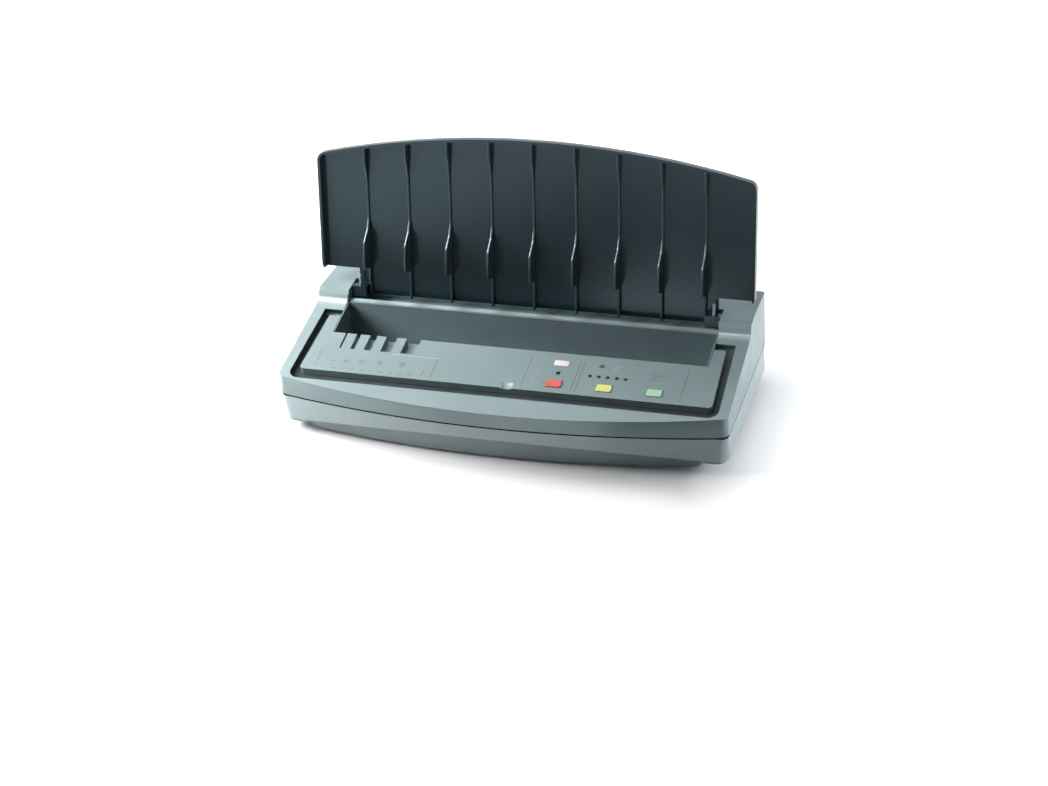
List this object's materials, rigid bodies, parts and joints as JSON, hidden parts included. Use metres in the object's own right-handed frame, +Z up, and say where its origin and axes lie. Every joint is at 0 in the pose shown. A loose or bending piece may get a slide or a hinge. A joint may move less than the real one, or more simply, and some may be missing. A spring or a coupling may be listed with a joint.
{
  "type": "thermal binding machine",
  "caption": "Desktop thermal binding machine with a sloping control deck, a heated binding trough, a spine gauge and a ribbed hinged cover standing open",
  "frame": {"origin": "on the table under the middle of the casing, at the centre of the underside of the part's box", "axes": "+X to the right of a user who faces the controls, along the trough; +Y to the rear, where the cover is hinged; +Z up"},
  "size_m": [0.42, 0.2, 0.241],
  "materials": {
    "casing": "fine satin moulding",
    "panel": "fine satin moulding",
    "cover": "semi-gloss dark plastic",
    "liner": "satin",
    "red_plastic": "satin",
    "yellow_plastic": "satin",
    "green_plastic": "satin",
    "white_plastic": "translucent white",
    "smoked_plastic": "smoked",
    "rubber": "moulded",
    "steel": "plated",
    "aluminium": "bead blasted",
    "felt": "pressed ceramic felt",
    "mica": "mica sheet",
    "circuit_board": "solder mask",
    "nylon": "natural nylon",
    "black_plastic": "moulded"
  },
  "bodies": {
    "casing": {"board_screw_1": "steel", "board_screw_2": "steel", "board_screw_3": "steel", "board_screw_4": "steel", "button_board": "circuit_board", "buzzer": "black_plastic", "casing_screw_front_left": "steel", "casing_screw_front_right": "steel", "casing_screw_rear_left": "steel", "casing_screw_rear_right": "steel", "control_panel": "panel", "gauge_light_pipe": "smoked_plastic", "green_key_switch": "black_plastic", "heater_plate": "aluminium", "heater_tray": "steel", "heating_element": "mica", "hinge_bush_left": "nylon", "hinge_bush_right": "nylon", "indicator_window": "white_plastic", "insulation_pad": "felt", "lower_casing": "casing", "main_board": "circuit_board", "main_board_screw_1": "steel", "main_board_screw_2": "steel", "main_board_screw_3": "steel", "main_board_screw_4": "steel", "mains_inlet": "black_plastic", "red_key_switch": "black_plastic", "rubber_foot_front_left": "rubber", "rubber_foot_front_right": "rubber", "rubber_foot_rear_left": "rubber", "rubber_foot_rear_right": "rubber", "status_light": "smoked_plastic", "thermal_fuse": "steel", "thermostat": "black_plastic", "transformer": "steel", "trough_liner": "liner", "upper_casing": "casing", "yellow_key_switch": "black_plastic"},
    "cover": {"cover": "cover", "cover_rib_1": "cover", "cover_rib_2": "cover", "cover_rib_3": "cover", "cover_rib_4": "cover", "cover_rib_5": "cover", "cover_rib_6": "cover", "cover_rib_7": "cover", "cover_rib_8": "cover", "cover_rib_9": "cover", "hinge_pin_left": "steel", "hinge_pin_right": "steel"},
    "red_button": {"red_button": "red_plastic"},
    "yellow_button": {"yellow_button": "yellow_plastic"},
    "green_button": {"green_button": "green_plastic"}
  },
  "joints": [
    {"name": "cover_hinge", "type": "hinge", "parent": "casing", "child": "cover", "pos_m": [0, 0.04493, 0.08599], "axis": [1, 0, 0], "range_deg": [0, 108.5]},
    {"name": "red_button_press", "type": "slide", "parent": "casing", "child": "red_button", "axis": [0, 0.2207, -0.9753], "range_m": [0, 0.001], "stiffness_N_per_m": 600, "springref_m": -0.0005},
    {"name": "yellow_button_press", "type": "slide", "parent": "casing", "child": "yellow_button", "axis": [0, 0.2207, -0.9753], "range_m": [0, 0.001], "stiffness_N_per_m": 600, "springref_m": -0.0005},
    {"name": "green_button_press", "type": "slide", "parent": "casing", "child": "green_button", "axis": [0, 0.2207, -0.9753], "range_m": [0, 0.001], "stiffness_N_per_m": 600, "springref_m": -0.0005}
  ]
}
